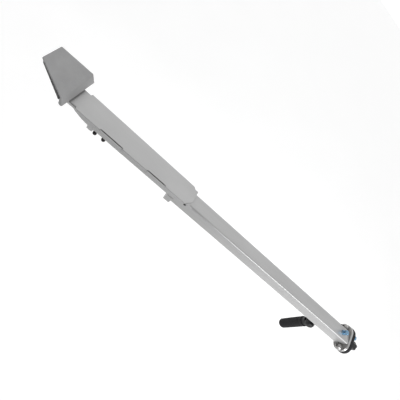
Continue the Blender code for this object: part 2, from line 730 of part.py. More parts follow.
def end_parts(parent):
    """Plug in the tube's front end, the spindle's bush, and the two bolts that hold the plug."""
    half = HALF - TUBE_WALL - GAP
    plug = box("end_plug", (PLUG_REAR, -half, -half), (TUBE_FRONT - GAP, half, half), 2.5 * MM, 2)
    cut(plug, cylinder("c", 12 * MM, (PLUG_REAR - 0.1, 0, 0), (TUBE_FRONT + 0.1, 0, 0)))
    cut(plug, *plug_bolt_holes())
    put(settle(plug), "aluminium", parent, tube_place())
    bush = ring("spindle_bush", SPINDLE_R + GAP, 11.7 * MM, PLUG_REAR, TUBE_FRONT - GAP)
    put(bush, "bronze", parent, tube_place(), (0, pi / 2, 0))
    plug_bolt(parent, "top", "blue_zinc", tube_place(TOP_BOLT_X), (0, 0, 0))
    plug_bolt(parent, "side", "black_steel", tube_place(SIDE_BOLT_X, 0, SIDE_BOLT_Z), (pi / 2, 0, 0))


def plug_bolt(parent, side, slot, place, turn):
    """A hexagon bolt and its lock nut, on an axis that leaves the tube along +Z before it is turned."""
    flats, radius, nut_high, head_low, head_high = PLUG_BOLTS[side]
    bolt = join(hexagon(f"{side}_bolt", flats, HALF + head_low, HALF + head_high),
                cylinder("c", radius, (0, 0, PLUG_BOLT_TIP), (0, 0, HALF + head_low + MM), SMALL_ROUND))
    put(settle(bolt), slot, parent, place, turn)
    nut = cut(hexagon(f"{side}_lock_nut", flats, HALF + GAP, HALF + nut_high),
              cylinder("c", radius + GAP, (0, 0, 0), (0, 0, 2 * HALF), SMALL_ROUND))
    put(settle(nut), slot, parent, place, turn)


def lever_mount(parent):
    """Lug welded under the tube, with a base plate that also takes the plunger's guide."""
    top = -HALF - GAP
    base = box("lever_lug", (LEVER_X - 25 * MM, -12 * MM, top - 4 * MM), (LEVER_X + 29 * MM, 12 * MM, top),
               0.8 * MM, 1)
    join(base, box("c", (LEVER_X - 9 * MM, -5 * MM, LEVER_Z), (LEVER_X + 9 * MM, 5 * MM, top - 2 * MM)),
         cylinder("c", 11 * MM, (LEVER_X, -5 * MM, LEVER_Z), (LEVER_X, 5 * MM, LEVER_Z)))
    cut(base, cylinder("c", 4.3 * MM, (LEVER_X, -0.1, LEVER_Z), (LEVER_X, 0.1, LEVER_Z), SMALL_ROUND),
        cylinder("c", 5.8 * MM, (PLUNGER_X, 0, -0.1), (PLUNGER_X, 0, 0.1), SMALL_ROUND))
    put(settle(base), "black_steel", parent, tube_place())
    guide = turned("plunger_guide", [(5.5 * MM, -12 * MM), (5.5 * MM, -24.6 * MM), (6.6 * MM, -24.6 * MM),
                                     (6.6 * MM, -26.2 * MM), (5.5 * MM, -27 * MM), (3.5 * MM, -27 * MM),
                                     (3.5 * MM, -12 * MM)], SMALL_ROUND)
    put(guide, "bronze", parent, tube_place(PLUNGER_X))
    put(spring("plunger_spring"), "black_steel", parent, tube_place(PLUNGER_X))


def spring(name):
    """Tension spring about Z that draws the lock pin's crossbar up towards the guide."""
    turns, per_turn = 7, 12
    top, bottom = SPRING_TOP, SPRING_FOOT
    radius = 4.5 * MM
    curve = bpy.data.curves.new(name, "CURVE")
    curve.dimensions = "3D"
    curve.bevel_depth = 0.55 * MM
    curve.bevel_resolution = 1
    curve.use_fill_caps = True
    count = turns * per_turn + 1
    line = curve.splines.new("POLY")
    line.points.add(count - 1)
    for i, point in enumerate(line.points):
        angle = 2 * pi * i / per_turn
        height = top + (bottom - top) * i / (count - 1)
        point.co = (radius * cos(angle), radius * sin(angle), height, 1)
    made = bpy.data.objects.new(name, curve)
    parts.objects.link(made)
    return freeze(made)


def plunger(parent):
    """Lock pin whose tip sits in the spindle's groove. The lever's fork pushes its crossbar down."""
    low = LEVER_Z - CROSSBAR_DROP
    made = turned("lock_plunger", [(0, -7.2 * MM), (2.4 * MM, -7.2 * MM), (3.2 * MM, -8 * MM), (3.2 * MM, low),
                                   (0, low)], SMALL_ROUND)
    bar = box("c", (-2 * MM, -FORK_HALF, low - 0.4 * MM), (2 * MM, FORK_HALF, low + 2 * MM))
    put(settle(join(made, bar)), "black_steel", parent)


def lever_parts(parent):
    """Domed hub with its fork and core rod, the rubber grip and the hinge pin. Measured from the hinge."""
    along = Vector((sin(LEVER_TILT), 0, -cos(LEVER_TILT)))
    hub = lever_barrel("lever_hub")
    join(hub, cylinder("c", 12.2 * MM, (0, 0, 0), along * 24 * MM),
         cylinder("c", CORE_R, along * 20 * MM, along * CORE_END, SMALL_ROUND),
         box("c", (4 * MM, -FORK_HALF, -3 * MM), (FORK_REACH, FORK_HALF, 3.7 * MM), MM, 1))
    cut(hub, box("c", (-20 * MM, -LEVER_SLOT, -12 * MM), (30 * MM, LEVER_SLOT, 20 * MM)),
        cylinder("c", 4.3 * MM, (0, -0.1, 0), (0, 0.1, 0), SMALL_ROUND))
    put(settle(hub), "black_plastic", parent)
    bore = 6.8 * MM
    end = GRIP_END
    grip = turned("rubber_grip", [(GRIP_R - 1.5 * MM, -24.3 * MM), (GRIP_R, -26 * MM), (GRIP_R, -end + GRIP_R),
                                  *[(GRIP_R * cos(a), -end + GRIP_R * (1 - sin(a)))
                                    for a in (radians(18 * k) for k in range(1, 5))],
                                  (0, -end), (0, -CORE_END - 2 * MM), (bore, -CORE_END - 2 * MM),
                                  (bore, -24.3 * MM)])
    put(grip, "black_rubber", parent, (0, 0, 0), (0, -LEVER_TILT, 0))
    half = LEVER_HUB_HALF - 0.4 * MM
    pin = cylinder("lever_pin", 4 * MM, (0, -half, 0), (0, half, 0), SMALL_ROUND, 0.6 * MM)
    put(pin, "black_steel", parent)


def lever_barrel(name):
    """The hub's barrel about Y, with broadly rounded ends."""
    middle = LEVER_HUB_HALF - LEVER_HUB_ROUND
    inner = LEVER_HUB_R - LEVER_HUB_ROUND
    arc = [(inner + LEVER_HUB_ROUND * sin(a), middle + LEVER_HUB_ROUND * cos(a))
           for a in (radians(15 * k) for k in range(7))]
    made = turned(name, [(0, LEVER_HUB_HALF), *arc, *[(r, -h) for r, h in reversed(arc)], (0, -LEVER_HUB_HALF)])
    made.data.transform(Matrix.Rotation(pi / 2, 4, "X"))
    return made


def fitting_parts(parent):
    """Spindle, plate, pad, bolts, stud and nuts. The parent empty is rolled and lies on the tube's axis."""
    turn = (0, pi / 2, 0)
    start = -TUBE_FRONT
    place = (start, 0, 0)
    spindle = turned("spindle", [
        (0, SPINDLE_TIP), (5 * MM, SPINDLE_TIP), (6 * MM, SPINDLE_TIP - MM), (6 * MM, 1004 * MM), (8 * MM, 1004 * MM),
        (8 * MM, TUBE_FRONT), (SPINDLE_R, TUBE_FRONT), (SPINDLE_R, PLUNGER_X + 5 * MM),
        (6.5 * MM, PLUNGER_X + 5 * MM), (6.5 * MM, PLUNGER_X - 5 * MM), (SPINDLE_R, PLUNGER_X - 5 * MM),
        (SPINDLE_R, 901 * MM), (8.5 * MM, 899 * MM), (0, 899 * MM)])
    put(spindle, "black_steel", parent, place, turn)
    put(fitting_plate("end_plate", PLATE_REAR, PLATE_THICK, 0, 1.2 * MM, 2.7 * MM), "polished_steel", parent, place)
    put(fitting_plate("rubber_pad", PAD_REAR, PAD_THICK, PAD_MARGIN, 1.5 * MM, 0), "black_rubber", parent, place)
    for side, hand in ((1, "left"), (-1, "right")):
        put(dome_bolt(f"dome_bolt_{hand}"), "polished_steel", parent,
            (PLATE_REAR - GAP - TUBE_FRONT, side * DOME_Y, 0), (0, -pi / 2, 0))
    stud = cylinder("locating_stud", LOCATING_STUD_R, (PLATE_REAR + 3 * MM, 0, 0), (LOCATING_STUD_TIP, 0, 0),
                    SMALL_ROUND, 0.6 * MM)
    put(stud, "blue_zinc", parent, (start, *STUD_YZ))
    far = PAD_FRONT + 0.1
    nut = hexagon("stud_nut", 15 * MM, PAD_FRONT + GAP, PAD_FRONT + 8.5 * MM)
    cut(nut, cylinder("c", LOCATING_STUD_R + GAP, (0, 0, PAD_REAR), (0, 0, far), SMALL_ROUND))
    put(settle(nut), "blue_zinc", parent, (start, *STUD_YZ), turn)
    jam = hexagon("jam_nut", 22 * MM, PAD_FRONT + GAP, PAD_FRONT + 8 * MM)
    cut(jam, cylinder("c", 8 * MM + GAP, (0, 0, PAD_REAR), (0, 0, 1004.3 * MM), SMALL_ROUND),
        cylinder("c", 6.3 * MM, (0, 0, PAD_REAR), (0, 0, far), SMALL_ROUND))
    put(settle(jam), "black_steel", parent, place, turn)


def fitting_plate(name, rear, thickness, margin, edge, stud_seat):
    """Oval plate across the arm, with holes for the spindle, the bolts and the stud (blind if it has a seat)."""
    height, length = PLATE_HALF_HEIGHT + margin, PLATE_HALF_LENGTH + margin
    points = [(-height, -length), (height, -length), (height, length), (-height, length)]
    made = flat_outline(name, points, thickness, fillets={i: height - MM / 2 for i in range(4)})
    bm = bmesh.new()
    bm.from_mesh(made.data)
    rims = [e for e in bm.edges if abs(e.verts[0].co.z - e.verts[1].co.z) < MM / 100]
    bmesh.ops.bevel(bm, geom=rims, offset=edge, segments=2, affect="EDGES", profile=0.5)
    bm.to_mesh(made.data)
    bm.free()
    # The outline lies in XY with its length along Y; X becomes Z, and the thickness runs along X.
    made.data.transform(Matrix(((0, 0, 1, rear + thickness / 2), (0, 1, 0, 0), (-1, 0, 0, 0), (0, 0, 0, 1))))
    near, far = rear - 0.1, rear + 0.1
    cut(made, cylinder("c", 8 * MM + GAP, (near, 0, 0), (far, 0, 0)))
    for side in (1, -1):
        cut(made, cylinder("c", 5.3 * MM, (near, side * DOME_Y, 0), (far, side * DOME_Y, 0), SMALL_ROUND))
    y, z = STUD_YZ
    stud_start = rear + stud_seat if stud_seat else near
    cut(made, cylinder("c", LOCATING_STUD_R + GAP, (stud_start, y, z), (far, y, z), SMALL_ROUND))
    return settle(made)


def dome_bolt(name):
    """Polished dome head with a hexagon socket; the shank goes through plate and pad. Head along +Z."""
    height, radius = DOME_HEIGHT, DOME_R
    rim = 2.2 * MM
    arc = [(radius * cos(a), rim + (height - rim) * sin(a)) for a in (radians(15 * k) for k in range(6))]
    under = -(PLATE_THICK + PAD_THICK + 10 * MM)
    made = turned(name, [(0, height), *reversed(arc), (radius, 0), (5 * MM, 0), (5 * MM, under), (0, under)])
    socket = hexagon("c", 6 * MM, height - 5.5 * MM, height + 5 * MM)
    return settle(cut(made, socket))


def knob(parent):
    """Lobed clamp knob with a blind bore, measured from the tube's front end along the axis."""
    points = []
    sides = KNOB_LOBES * 6
    for i in range(sides):
        angle = 2 * pi * i / sides
        radius = KNOB_R + KNOB_LOBE * cos(KNOB_LOBES * angle)
        points.append((radius * cos(angle), radius * sin(angle)))
    made = flat_outline("clamp_knob", points, KNOB_FRONT - KNOB_REAR)
    bm = bmesh.new()
    bm.from_mesh(made.data)
    rims = [e for e in bm.edges if abs(e.verts[0].co.z - e.verts[1].co.z) < MM / 100]
    bmesh.ops.bevel(bm, geom=rims, offset=1.6 * MM, segments=2, affect="EDGES", profile=0.5)
    bm.to_mesh(made.data)
    bm.free()
    made.data.transform(Matrix.Translation((0, 0, (KNOB_REAR + KNOB_FRONT) / 2)))
    cut(made, cylinder("c", 6.3 * MM, (0, 0, PAD_REAR), (0, 0, SPINDLE_TIP + MM / 2), SMALL_ROUND))
    put(settle(made), "black_plastic", parent, (-TUBE_FRONT, 0, 0), (0, pi / 2, 0))


def build():
    pivot = empty("pivot_axis", (0, 0, 0))
    pivot_parts(pivot)
    hub_parts(pivot)
    rail(pivot)
    lid(pivot)
    mouth_parts(pivot)
    hood(pivot)
    housing(pivot)
    hood_screws(pivot)
    screw_axes = {name: empty(f"{name}_axis", at(x, y, 0), parent=pivot)
                  for name, (x, y, low) in CLAMP_SCREWS.items()}
    stop_parts(pivot, screw_axes)
    slide = empty("tube_axis", at(TUBE_REAR, 0, 0), parent=pivot)
    square_tube(slide)
    rear_collar(slide)
    end_parts(slide)
    lever_mount(slide)
    plunger(empty("plunger_axis", at(PLUNGER_X, 0, 0), parent=slide))
    lever_parts(empty("lever_axis", at(LEVER_X, 0, LEVER_Z), parent=slide))
    swivel = empty("fitting_axis", at(TUBE_FRONT, 0, 0), PLATE_ROLL, slide)
    fitting_parts(swivel)
    knob(swivel)


clear_scene()
parts = new_collection("gate_opener_arm")
cutters = new_collection("cutters")
build()
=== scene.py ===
"""Looks of the swing-gate opener arm: finishes, finer pieces, studio and camera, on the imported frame.

Metres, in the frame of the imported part. Every new mesh is built in place, so an object's own
coordinates are the part's coordinates and one texture scale fits all of them.
"""

import json
from math import cos, pi, radians, sin, tan

import bmesh
import bpy
from mathutils import Matrix, Vector, noise

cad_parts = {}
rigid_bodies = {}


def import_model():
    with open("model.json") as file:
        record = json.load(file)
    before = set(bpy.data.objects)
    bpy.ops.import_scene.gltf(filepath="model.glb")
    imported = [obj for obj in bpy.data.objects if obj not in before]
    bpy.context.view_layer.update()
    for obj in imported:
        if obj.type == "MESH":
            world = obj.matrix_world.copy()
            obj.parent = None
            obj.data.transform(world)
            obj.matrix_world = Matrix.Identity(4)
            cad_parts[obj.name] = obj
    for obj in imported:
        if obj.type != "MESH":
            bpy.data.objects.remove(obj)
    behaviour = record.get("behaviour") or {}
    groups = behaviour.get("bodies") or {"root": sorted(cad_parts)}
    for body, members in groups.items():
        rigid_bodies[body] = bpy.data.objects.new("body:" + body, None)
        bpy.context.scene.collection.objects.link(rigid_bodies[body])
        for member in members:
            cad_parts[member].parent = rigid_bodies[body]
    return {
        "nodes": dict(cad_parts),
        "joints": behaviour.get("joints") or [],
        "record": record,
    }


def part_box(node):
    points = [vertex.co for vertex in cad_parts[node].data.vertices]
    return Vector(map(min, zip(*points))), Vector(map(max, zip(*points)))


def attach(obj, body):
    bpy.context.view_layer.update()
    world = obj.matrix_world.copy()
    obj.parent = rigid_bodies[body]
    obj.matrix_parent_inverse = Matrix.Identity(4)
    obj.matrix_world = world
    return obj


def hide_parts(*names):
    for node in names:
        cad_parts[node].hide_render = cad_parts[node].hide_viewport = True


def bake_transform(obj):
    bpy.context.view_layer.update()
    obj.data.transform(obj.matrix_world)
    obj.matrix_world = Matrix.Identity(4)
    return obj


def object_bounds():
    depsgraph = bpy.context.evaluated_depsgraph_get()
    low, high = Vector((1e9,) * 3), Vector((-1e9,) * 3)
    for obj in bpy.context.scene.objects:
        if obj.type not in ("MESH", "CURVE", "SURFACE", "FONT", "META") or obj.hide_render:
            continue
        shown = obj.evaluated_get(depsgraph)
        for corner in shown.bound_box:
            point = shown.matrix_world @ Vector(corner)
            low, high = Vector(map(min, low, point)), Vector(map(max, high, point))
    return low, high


MM = 0.001
PER_METRE = 1000  # turns a feature size in millimetres into a texture scale
FORWARD = (1, 0, 0)  # along the arm, towards the gate
BACKWARD = (-1, 0, 0)
RIGHTWARD = (0, -1, 0)
UPWARD = (0, 0, 1)

# Camera: above the pivot end, on the arm's left, looking down the arm with a wide lens.
# These axes are left-handed (determinant -1), so the camera mirrors what it sees: a known fault.
CAMERA_AT = (0.2017, 0.3613, 0.5427)
CAMERA_RIGHT = (0.72152, -0.42887, 0.54358)
CAMERA_UP = (-0.64395, -0.70414, 0.29920)
CAMERA_BACK = (-0.25443, 0.56591, 0.78422)
CAMERA_LENS = 24.75  # millimetres
CAMERA_SENSOR = 36  # millimetres
CAMERA_NEAR = 0.01

# Studio
FLOOR_SIZE = 14
FLOOR_MIDDLE_X = 0.5
FLOOR_DROP = 400 * MM  # below the lowest point of the arm, so that no shadow edge shows
FLOOR_GLOW = 0.16  # the floor's own light, which brings it near white
STRIP_AT = (1.15, 0.5, 0.22)
STRIP_AIM = (1.12, 0, 0)
STRIP_LENGTH = 1.0
STRIP_HEIGHT = 0.16
STRIP_POWER = 6.0  # watts
SKY_BRIGHT_SIDE = (-0.18, -0.84, 0.51)  # the studio's walls and ceiling are brightest this way
SKY_MEAN = 0.455  # level square to that side
SKY_SWING = 1.08  # how much it rises towards that side and falls away from it
SKY_LEAST = 0.03

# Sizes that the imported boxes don't show
LEVER_TILT = radians(12)
DOME_SOCKET = 6 * MM  # across flats
SCREW_SOCKET = 5 * MM
SPINDLE_PITCH = 1.75 * MM
DOME_BOLT_PITCH = 1.5 * MM
ACROSS_FLATS = {
    "pivot_nut": 24 * MM,
    "stud_nut": 15 * MM,
    "jam_nut": 22 * MM,
    "top_lock_nut": 13 * MM,
    "side_lock_nut": 8 * MM,
    "top_bolt": 13 * MM,
    "side_bolt": 8 * MM,
}

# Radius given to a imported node's sharp edges, in millimetres
EDGES_MM = {
    "hood": 0.5,
    "rail": 0.3,
    "lid": 0.3,
    "tube": 0.25,
    "rear_collar": 0.6,
    "end_plate": 0.4,
    "rubber_pad": 0.5,
    "stop_block": 0.4,
    "stop_carriage": 0.4,
    "hub_housing": 0.3,
    "lever_hub": 0.5,
    "lever_lug": 0.4,
}
OTHER_EDGES_MM = 0.15
EDGE_ANGLE = radians(40)
WELD_WITHIN = 0.01 * MM
MERGE_WITHIN = 0.002 * MM

# Sides of the turned pieces
NUT_SIDES = 72
DOME_SIDES = 96
KNURLED_SIDES = 144
GRIP_SIDES = 64
KNOB_SIDES = 120
INSERT_SIDES = 48

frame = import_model()
nodes = frame["nodes"]
joints = {joint["name"]: joint for joint in frame["joints"]}
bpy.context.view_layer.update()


# Materials

def shader_of(made):
    return made.node_tree.nodes["Principled BSDF"]


def new_material(name, roughness, metallic=0.0):
    """A Principled material; roughness stands until a finish links its own."""
    made = bpy.data.materials.new(name)
    made.use_nodes = True
    shader = shader_of(made)
    shader.inputs["Roughness"].default_value = roughness
    shader.inputs["Metallic"].default_value = metallic
    return made


def noise_field(made, size_mm, stretch=(1, 1, 1), detail=4.0, distortion=0.0):
    """A noise whose blotches are about size_mm across, stretched along the part's axes."""
    tree = made.node_tree
    place = tree.nodes.new("ShaderNodeTexCoord")
    mapping = tree.nodes.new("ShaderNodeMapping")
    mapping.inputs["Scale"].default_value = [PER_METRE / size_mm / s for s in stretch]
    tree.links.new(place.outputs["Object"], mapping.inputs["Vector"])
    field = tree.nodes.new("ShaderNodeTexNoise")
    field.inputs["Scale"].default_value = 1.0
    field.inputs["Detail"].default_value = detail
    field.inputs["Distortion"].default_value = distortion
    tree.links.new(mapping.outputs["Vector"], field.inputs["Vector"])
    return field.outputs["Fac"]


def cell_field(made, size_mm, feature="F1"):
    """A pattern of cells about size_mm across."""
    tree = made.node_tree
    place = tree.nodes.new("ShaderNodeTexCoord")
    field = tree.nodes.new("ShaderNodeTexVoronoi")
    field.feature = feature
    field.inputs["Scale"].default_value = PER_METRE / size_mm
    tree.links.new(place.outputs["Object"], field.inputs["Vector"])
    return field.outputs["Distance"]


def ramp(made, value, stops):
    """Turns a value into colours. Stops are (value, colour) pairs."""
    node = made.node_tree.nodes.new("ShaderNodeValToRGB")
    elements = node.color_ramp.elements
    while len(elements) < len(stops):
        elements.new(0.5)
    for element, (position, colour) in zip(elements, stops):
        element.position = position
        element.color = (*colour, 1)
    made.node_tree.links.new(value, node.inputs["Fac"])
    return node.outputs["Color"]


def blend_colours(made, amount, first, second):
    """Mixes two colours by an amount. Each is a tuple or another node's output."""
    node = made.node_tree.nodes.new("ShaderNodeMix")
    node.data_type = "RGBA"
    node.blend_type = "MIX"
    links = made.node_tree.links
    links.new(amount, node.inputs["Factor"])
    for socket, colour in ((node.inputs["A"], first), (node.inputs["B"], second)):
        socket = colour_socket(node, socket)
        if isinstance(colour, (tuple, list)):
            socket.default_value = (*colour, 1)
        else:
            links.new(colour, socket)
    return next(out for out in node.outputs if out.type == "RGBA")


def colour_socket(node, socket):
    """The Mix node has one socket of each name for every data type; this is the colour one."""
    return next(entry for entry in node.inputs if entry.name == socket.name and entry.type == "RGBA")


def span(made, value, low, high, start=0.3, end=0.7):
    """Maps a noise value onto a range."""
    node = made.node_tree.nodes.new("ShaderNodeMapRange")
    node.inputs["From Min"].default_value = start
    node.inputs["From Max"].default_value = end
    node.inputs["To Min"].default_value = low
    node.inputs["To Max"].default_value = high
    made.node_tree.links.new(value, node.inputs["Value"])
    return node.outputs["Result"]


def bump(made, height, depth_mm, strength=1.0, under=None):
    """Relief depth_mm deep. A second relief goes on top of the one given as under."""
    node = made.node_tree.nodes.new("ShaderNodeBump")
    node.inputs["Strength"].default_value = strength
    node.inputs["Distance"].default_value = depth_mm * MM
    links = made.node_tree.links
    links.new(height, node.inputs["Height"])
    if under:
        links.new(under, node.inputs["Normal"])
    links.new(node.outputs["Normal"], shader_of(made).inputs["Normal"])
    return node.outputs["Normal"]


def set_colour(made, colour):
    made.node_tree.links.new(colour, shader_of(made).inputs["Base Color"])


def set_roughness(made, value):
    made.node_tree.links.new(value, shader_of(made).inputs["Roughness"])


def shade(colour, factor):
    """A darker or lighter version of a colour."""
    return tuple(channel * factor for channel in colour)


def powder_coat(name, colour, rubbed):
    """Satin powder coat: orange-peel relief, faint cloudiness, dust specks and rub marks along the arm."""
    made = new_material(name, 0.4, 0.5)
    clouds = noise_field(made, 60, (3, 1, 1))
    base = ramp(made, clouds, [(0.3, shade(colour, 0.95)), (0.7, shade(colour, 1.05))])
    streaks = noise_field(made, 1.6, (60, 1, 1), detail=6)
    rubs = span(made, streaks, 0.0, rubbed, 0.58, 0.72)
    base = blend_colours(made, rubs, base, shade(colour, 1.25))
    specks = span(made, cell_field(made, 9), 0.35, 0.0, 0.03, 0.07)
    base = blend_colours(made, specks, base, shade(colour, 0.7))
    set_colour(made, base)
    set_roughness(made, span(made, streaks, 0.44, 0.34))
    peel = bump(made, noise_field(made, 1.3, detail=2), 0.05, 0.6)
    bump(made, noise_field(made, 14, detail=1), 0.25, 0.15, peel)
    return made


def moulded_plastic(name, colour, roughness, grain_mm):
    """Grained moulding: fine pebbled relief, slow tone changes and slightly shinier handled patches."""
    made = new_material(name, roughness)
    shader_of(made).inputs["Specular IOR Level"].default_value = 0.3
    tones = noise_field(made, 35, detail=3)
    base = ramp(made, tones, [(0.3, shade(colour, 0.93)), (0.7, shade(colour, 1.07))])
    dust = span(made, noise_field(made, 3, detail=6), 0.0, 0.25, 0.55, 0.8)
    set_colour(made, blend_colours(made, dust, base, shade(colour, 1.3)))
    set_roughness(made, span(made, noise_field(made, 22), roughness - 0.07, roughness + 0.07))
    grain = bump(made, cell_field(made, grain_mm, "SMOOTH_F1"), 0.06, 0.7)
    bump(made, noise_field(made, 18, detail=1), 0.3, 0.12, grain)
    return made


def rubber(name, colour):
    """Dull rubber with a greyish bloom and a fine sandy surface."""
    made = new_material(name, 0.75)
    shader_of(made).inputs["Specular IOR Level"].default_value = 0.2
    bloom = noise_field(made, 12, detail=5)
    set_colour(made, ramp(made, bloom, [(0.35, colour), (0.75, shade(colour, 1.9))]))
    set_roughness(made, span(made, bloom, 0.55, 0.8))
    sand = bump(made, noise_field(made, 0.7, detail=3), 0.06, 0.6)
    bump(made, noise_field(made, 6, detail=2), 0.2, 0.2, sand)
    return made


def polished_metal(name, colour, rim_highlight_colour):
    """Polished steel with hairline scratches and smudges. Its cut edges, which face across the arm, carry a
    painted highlight in a lighter colour.
    """
    made = new_material(name, 0.25, 1.0)
    hair = noise_field(made, 0.4, (1, 30, 1), detail=3)
    smudge = noise_field(made, 16, detail=4)
    face = ramp(made, smudge, [(0.3, shade(colour, 0.85)), (0.7, colour)])
    # painted highlight: surfaces facing across the arm, such as the end plate's rim, take the lighter colour
    set_colour(made, blend_colours(made, rim_highlight_mask(made), face, rim_highlight_colour))
    set_roughness(made, span(made, smudge, 0.34, 0.46))
    bump(made, hair, 0.01, 0.35)
    return made


def rim_highlight_mask(made):
    """1 where the surface faces across the arm, 0 where it faces along it: this marks where the painted
    highlight goes.
    """
    tree = made.node_tree
    place = tree.nodes.new("ShaderNodeTexCoord")
    parts = tree.nodes.new("ShaderNodeSeparateXYZ")
    tree.links.new(place.outputs["Normal"], parts.inputs["Vector"])
    size = tree.nodes.new("ShaderNodeMath")
    size.operation = "ABSOLUTE"
    tree.links.new(parts.outputs["X"], size.inputs[0])
    return span(made, size.outputs["Value"], 1.0, 0.0, 0.15, 0.55)


def plated_metal(name, first, second, roughness):
    """Zinc-plated steel: two tones in small mottled patches over a faint crystal pattern."""
    made = new_material(name, roughness, 1.0)
    mottle = noise_field(made, 5, detail=5, distortion=0.6)
    base = ramp(made, mottle, [(0.35, first), (0.65, second)])
    crystals = span(made, cell_field(made, 2.2), 0.0, 0.3, 0.1, 0.6)
    set_colour(made, blend_colours(made, crystals, base, shade(first, 0.7)))
    set_roughness(made, span(made, mottle, roughness - 0.08, roughness + 0.1))
    bump(made, noise_field(made, 0.6, detail=3), 0.015, 0.5)
    return made


def machined_metal(name, colour):
    """Milled aluminium: parallel cutter marks and faint tone bands."""
    made = new_material(name, 0.38, 1.0)
    marks = noise_field(made, 0.5, (1, 40, 40), detail=2)
    bands = noise_field(made, 6, (1, 4, 4), detail=2)
    set_colour(made, ramp(made, bands, [(0.3, shade(colour, 0.88)), (0.7, colour)]))
    set_roughness(made, span(made, marks, 0.3, 0.5))
    bump(made, marks, 0.02, 0.6)
    return made


def bearing_bronze(name, colour):
    """Sintered bronze: open pores and oil-darkened patches."""
    made = new_material(name, 0.4, 1.0)
    oil = noise_field(made, 8, detail=4)
    base = ramp(made, oil, [(0.3, shade(colour, 0.6)), (0.7, colour)])
    pores = span(made, cell_field(made, 0.6), 0.8, 0.0, 0.1, 0.3)
    set_colour(made, blend_colours(made, pores, base, shade(colour, 0.2)))
    set_roughness(made, span(made, oil, 0.3, 0.5))
    bump(made, cell_field(made, 0.6), 0.03, 0.5)
    return made


def nylon(name, colour):
    """Slightly waxy nylon with polished streaks where the tube runs."""
    made = new_material(name, 0.42)
    shader_of(made).inputs["Subsurface Weight"].default_value = 0.1
    shader_of(made).inputs["Subsurface Radius"].default_value = (0.002, 0.0015, 0.001)
    streaks = noise_field(made, 2, (30, 1, 1), detail=4)
    set_colour(made, ramp(made, streaks, [(0.3, shade(colour, 0.85)), (0.7, colour)]))
    set_roughness(made, span(made, streaks, 0.3, 0.5))
    bump(made, noise_field(made, 0.8, detail=2), 0.02, 0.4)
    return made


def studio_floor(name):
    """A matt, nearly white floor with the faintest change of tone, which glows slightly."""
    made = new_material(name, 0.9)
    tone = noise_field(made, 300, detail=2)
    set_colour(made, ramp(made, tone, [(0.3, (0.94, 0.94, 0.94)), (0.7, (0.96, 0.96, 0.96))]))
    shader_of(made).inputs["Emission Color"].default_value = (1, 1, 1, 1)
    shader_of(made).inputs["Emission Strength"].default_value = FLOOR_GLOW
    return made


GREY = (0.375, 0.375, 0.375)
finishes = {
    "painted_steel": powder_coat("painted_steel_look", GREY, 0.35),
    "lid_paint": powder_coat("lid_paint_look", shade(GREY, 1.02), 0.12),
    "hood_plastic": moulded_plastic("hood_plastic_look", (0.32, 0.32, 0.322), 0.5, 0.8),
    "black_plastic": moulded_plastic("black_plastic_look", (0.014, 0.014, 0.015), 0.45, 0.7),
    "black_rubber": rubber("black_rubber_look", (0.008, 0.008, 0.009)),
    # the second colour is a painted highlight on the faces across the arm
    "polished_steel": polished_metal("polished_steel_look", (0.30, 0.295, 0.29), (0.50, 0.50, 0.50)),
    "zinc_steel": plated_metal("zinc_steel_look", (0.60, 0.60, 0.58), (0.66, 0.64, 0.56), 0.32),
    "blue_zinc": plated_metal("blue_zinc_look", (0.12, 0.27, 0.43), (0.28, 0.42, 0.55), 0.3),
    "black_steel": plated_metal("black_steel_look", (0.022, 0.022, 0.024), (0.04, 0.036, 0.033), 0.42),
    "aluminium": machined_metal("aluminium_look", (0.40, 0.40, 0.40)),
    "bronze": bearing_bronze("bronze_look", (0.55, 0.36, 0.16)),
    "nylon": nylon("nylon_look", (0.80, 0.79, 0.74)),
}
slot_of = {entry["node"]: entry["material_slot"] for entry in frame["record"]["subparts"]}


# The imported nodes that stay

def finish_node(name, edge_mm):
    """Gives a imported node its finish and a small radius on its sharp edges, without touching its mesh."""
    node = nodes[name]
    finish = finishes[slot_of[name]]
    if not node.data.materials:
        node.data.materials.append(finish)
    for i in range(len(node.data.materials)):
        node.data.materials[i] = finish
    weld = node.modifiers.new("weld", "WELD")
    weld.merge_threshold = WELD_WITHIN
    edge = node.modifiers.new("edge", "BEVEL")
    edge.width = edge_mm * MM
    edge.segments = 2
    edge.limit_method = "ANGLE"
    edge.angle_limit = EDGE_ANGLE
    edge.use_clamp_overlap = True
    edge.miter_outer = "MITER_ARC"
    normals = node.modifiers.new("normals", "WEIGHTED_NORMAL")
    normals.keep_sharp = True
    normals.weight = 80


for name in nodes:
    finish_node(name, EDGES_MM.get(name, OTHER_EDGES_MM))


# Finer pieces

def add_piece(name, bm, body, slot, instead_of=(), sharp=32):
    """A new piece of the arm: it rides on a body, if one is given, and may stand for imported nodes."""
    bmesh.ops.remove_doubles(bm, verts=bm.verts, dist=MERGE_WITHIN)
    bmesh.ops.recalc_face_normals(bm, faces=bm.faces)
    if bm.calc_volume(signed=True) < 0:
        bmesh.ops.reverse_faces(bm, faces=bm.faces)
    mesh = bpy.data.meshes.new(name)
    bm.to_mesh(mesh)
    bm.free()
    mesh.shade_smooth()
    mesh.set_sharp_from_angle(angle=radians(sharp))
    mesh.materials.append(finishes[slot])
    made = bpy.data.objects.new(name, mesh)
    bpy.context.scene.collection.objects.link(made)
    if body:
        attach(made, body)
    if instead_of:
        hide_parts(*instead_of)
    return made


def axis_frame(origin, along):
    """Places a piece built about Z so that its +Z runs along a direction from a point."""
    turn = Vector(along).to_track_quat("Z", "X").to_matrix().to_4x4()
    return Matrix.Translation(origin) @ turn


def circle(radius):
    return lambda angle: radius


def hexagon(apothem, clip=1.0):
    """Outline of a hexagon, cut back to a circle of radius clip where a chamfer passes."""
    def radius_at(angle):
        return min(apothem / cos((angle + pi / 6) % (pi / 3) - pi / 6), clip)
    return radius_at


def knurl(radius, depth, count):
    """Outline of a knurled head, with count sharp ridges."""
    return lambda angle: radius - depth * abs(sin(count * angle / 2))


def lobes(radius, swing, count):
    """Outline of a knob with count rounded lobes."""
    return lambda angle: radius + swing * cos(count * angle)


